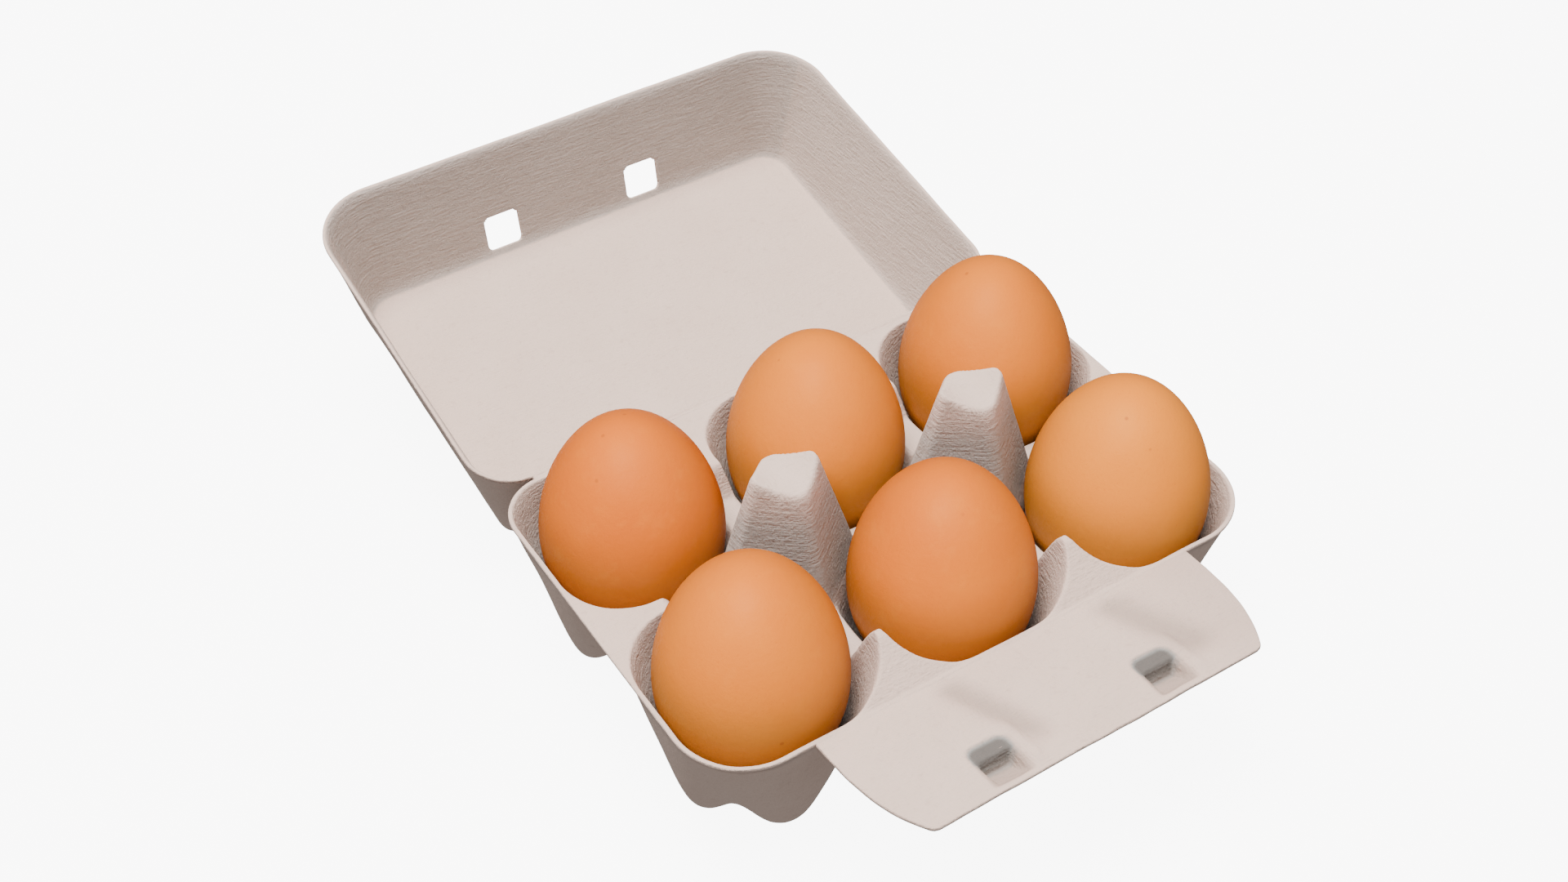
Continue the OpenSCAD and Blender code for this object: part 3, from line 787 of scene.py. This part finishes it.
def eggshell_material():
    g = Graph("brown_eggshell")
    cloud = g.noise(38, 3, 0.55)
    blotch = g.noise(170, 4, 0.6)
    pores = g.noise(2100, 3, 0.6)
    dimples = g.noise(700, 2, 0.5)
    specks = g.node("ShaderNodeTexVoronoi")
    g.link(g.place, specks.inputs["Vector"])
    specks.inputs["Scale"].default_value = 150
    spot = g.spread(specks.outputs["Distance"], 0.045, 0.085, 1.0, 0.0)
    chosen = g.node("ShaderNodeSeparateColor")
    g.link(specks.outputs["Color"], chosen.inputs[0])
    rare = g.spread(chosen.outputs[0], 0.62, 0.66)

    pale = g.attribute("pale")
    dark, light = (g.mix(pale, a, b) for a, b in SHELL_COLOURS)
    colour = g.mix(g.spread(cloud, 0.3, 0.7), dark, light)
    colour = g.mix(g.spread(blotch, 0.55, 0.75, 0.0, 0.25), colour, (0.56, 0.18, 0.02, 1))
    colour = g.mix(g.spread(pores, 0.40, 0.25, 0.0, 0.3), colour, (0.38, 0.07, 0.004, 1))
    colour = g.mix(g.math("MULTIPLY", g.math("MULTIPLY", spot, rare), 0.6), colour, (0.30, 0.07, 0.01, 1))
    # Painted shade: the lower part of each egg is darkened as if in the carton's shade.
    colour = g.mix(g.attribute("low_down"), colour, (0.58, 0.68, 0.95, 1), blend="MULTIPLY")
    g.link(colour, g.shader.inputs["Base Color"])
    height = g.math("ADD", g.math("MULTIPLY", pores, 0.6), dimples)
    g.bumps(height, 0.00006)
    g.link(g.spread(pores, 0.3, 0.7, 0.53, 0.62), g.shader.inputs["Roughness"])
    g.shader.inputs["Specular IOR Level"].default_value = 0.13
    return g.material


def stage_material():
    """A pale floor that glows a little, as a light table does, so that shadows on it stay faint."""
    g = Graph("pale_floor")
    g.shader.inputs["Base Color"].default_value = (0.3, 0.3, 0.3, 1)
    g.shader.inputs["Roughness"].default_value = 1.0
    g.shader.inputs["Specular IOR Level"].default_value = 0.0
    g.shader.inputs["Emission Color"].default_value = (1, 1, 1, 1)
    g.shader.inputs["Emission Strength"].default_value = 8.2
    return g.material


# ---------------------------------------------------------------------------------------------
# Camera and stage
# ---------------------------------------------------------------------------------------------


# The camera as it was solved from the photograph: angles in degrees, lens in millimetres, and its
# place in metres from the middle of the cells.
CAMERA_AZIMUTH, CAMERA_ELEVATION, CAMERA_ROLL = -32.48, 43.84, -0.40
CAMERA_LENS = 46.10
CAMERA_PLACE = (-0.19103, -0.26065, 0.36398)


def add_camera():
    azimuth, elevation, roll = map(math.radians, (CAMERA_AZIMUTH, CAMERA_ELEVATION, CAMERA_ROLL))
    flat = math.cos(elevation)
    back = Vector((math.sin(azimuth) * flat, -math.cos(azimuth) * flat, math.sin(elevation)))
    right = Vector((math.cos(azimuth), math.sin(azimuth), 0))
    up = back.cross(right)
    x_axis = right * math.cos(roll) + up * math.sin(roll)
    y_axis = up * math.cos(roll) - right * math.sin(roll)
    data = bpy.data.cameras.new("camera")
    data.lens, data.sensor_width = CAMERA_LENS, 36.0
    data.clip_start, data.clip_end = 0.02, 20
    camera = bpy.data.objects.new("camera", data)
    turn = Matrix((x_axis, y_axis, back)).transposed().to_4x4()
    camera.matrix_world = Matrix.Translation(Vector(CAMERA_PLACE) + Vector((0, TRAY_Y, 0))) @ turn
    bpy.context.scene.collection.objects.link(camera)
    bpy.context.scene.camera = camera


def add_area(name, where, size, power, colour, linked):
    """A soft round light that points at the carton and lights only what linked names."""
    data = bpy.data.lights.new(name, "AREA")
    data.shape, data.size, data.energy, data.color = "DISK", size, power, colour
    light = bpy.data.objects.new(name, data)
    light.location = where
    light.rotation_euler = (Vector(where) - Vector((0, 0, 0.03))).to_track_quat("Z", "Y").to_euler()
    bpy.context.scene.collection.objects.link(light)
    light.light_linking.receiver_collection = linked


def add_floor():
    """A wide round floor that curves up at its edge, so that no horizon shows from any side."""
    n, flat, curve = 72, 1.4, 1.6
    climb = np.radians(np.arange(10, 91, 10))
    radius = np.concatenate([[0.3, 0.8, flat], flat + curve * np.sin(climb)])[:, None]
    height = np.concatenate([[0, 0, 0], curve * (1 - np.cos(climb))])[:, None]
    a = 2 * np.pi * np.arange(n) / n
    rings = np.stack([radius * np.cos(a), radius * np.sin(a), np.repeat(height, n, axis=1)], axis=-1)
    points = np.concatenate([[[0, 0, 0]], rings.reshape(-1, 3)]) - (0, 0, 0.0002)
    faces = disc_faces(len(points), n, 0)
    mesh = bpy.data.meshes.new("floor")
    mesh.from_pydata(points.tolist(), [], [f[:3] if f[2] == f[3] else f for f in faces.tolist()])
    mesh.shade_smooth()
    mesh.materials.append(stage_material())
    floor = bpy.data.objects.new("floor", mesh)
    # The pale floor is a backdrop: what lights the object is the soft sky and the key above it.
    floor.visible_diffuse = floor.visible_glossy = floor.visible_shadow = False
    bpy.context.scene.collection.objects.link(floor)


def add_world():
    """Soft light from above and, as from a pale table, from below, with little from the horizon."""
    world = bpy.data.worlds.new("soft_white")
    world.use_nodes = True
    tree = world.node_tree
    up = tree.nodes.new("ShaderNodeSeparateXYZ")
    tree.links.new(tree.nodes.new("ShaderNodeTexCoord").outputs["Generated"], up.inputs[0])
    strength = tree.nodes.new("ShaderNodeFloatCurve")
    for at, value in ((0, 0.40), (0.5, 0.12), (1, 0.55)):
        point = strength.mapping.curves[0].points
        point = point.new(at, value) if at == 0.5 else point[int(at)]
        point.location = (at, value)
        point.handle_type = "VECTOR"
    half = tree.nodes.new("ShaderNodeMapRange")
    half.inputs["From Min"].default_value = -1
    tree.links.new(up.outputs["Z"], half.inputs["Value"])
    tree.links.new(half.outputs["Result"], strength.inputs["Value"])
    tree.links.new(strength.outputs["Value"], tree.nodes["Background"].inputs["Strength"])
    tree.nodes["Background"].inputs["Color"].default_value = (1, 1, 1, 1)
    bpy.context.scene.world = world


# ---------------------------------------------------------------------------------------------
# The model
# ---------------------------------------------------------------------------------------------

add_camera()
add_floor()
add_world()

pulp, shell = pulp_material(), eggshell_material()

CELLS = [f"cell_{row}_{column}" for row in ("front", "back") for column in ("left", "middle", "right")]
tray = build_tray()
tray.data.materials.append(pulp)
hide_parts(*CELLS, "post_left", "post_right", "lock_flap", "flap_crease")
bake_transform(tray)

lid = build_lid()
lid.data.materials.append(pulp)
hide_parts("lid", "lid_crease")
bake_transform(lid)

# How pale each egg's shell is, from 0 to 1
PALE = {
    "egg_front_left": 0.55,
    "egg_front_middle": 0.25,
    "egg_front_right": 1.0,
    "egg_back_left": 0.0,
    "egg_back_middle": 0.6,
    "egg_back_right": 0.5,
}

# The pulp's key light stands overhead, and the eggs have one of their own nearer the camera.
eggs, not_eggs = bpy.data.collections.new("eggs"), bpy.data.collections.new("not_eggs")
for j, row in ((-1, "front"), (1, "back")):
    for i, column in ((-1, "left"), (0, "middle"), (1, "right")):
        node = f"egg_{row}_{column}"
        egg = build_egg(f"{node}_shell", i, j, PALE[node])
        egg.data.materials.append(shell)
        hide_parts(node)
        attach(egg, node)
        eggs.objects.link(egg)
        not_eggs.objects.link(egg)
for item in not_eggs.collection_objects:
    item.light_linking.link_state = "EXCLUDE"
add_area("key", (-0.12, 0.14, 1.24), 0.8, 49.0, (1, 0.95, 0.91), not_eggs)
add_area("egg_key", (-0.40, -0.36, 1.15), 0.5, 53.0, (1, 0.90, 0.66), eggs)
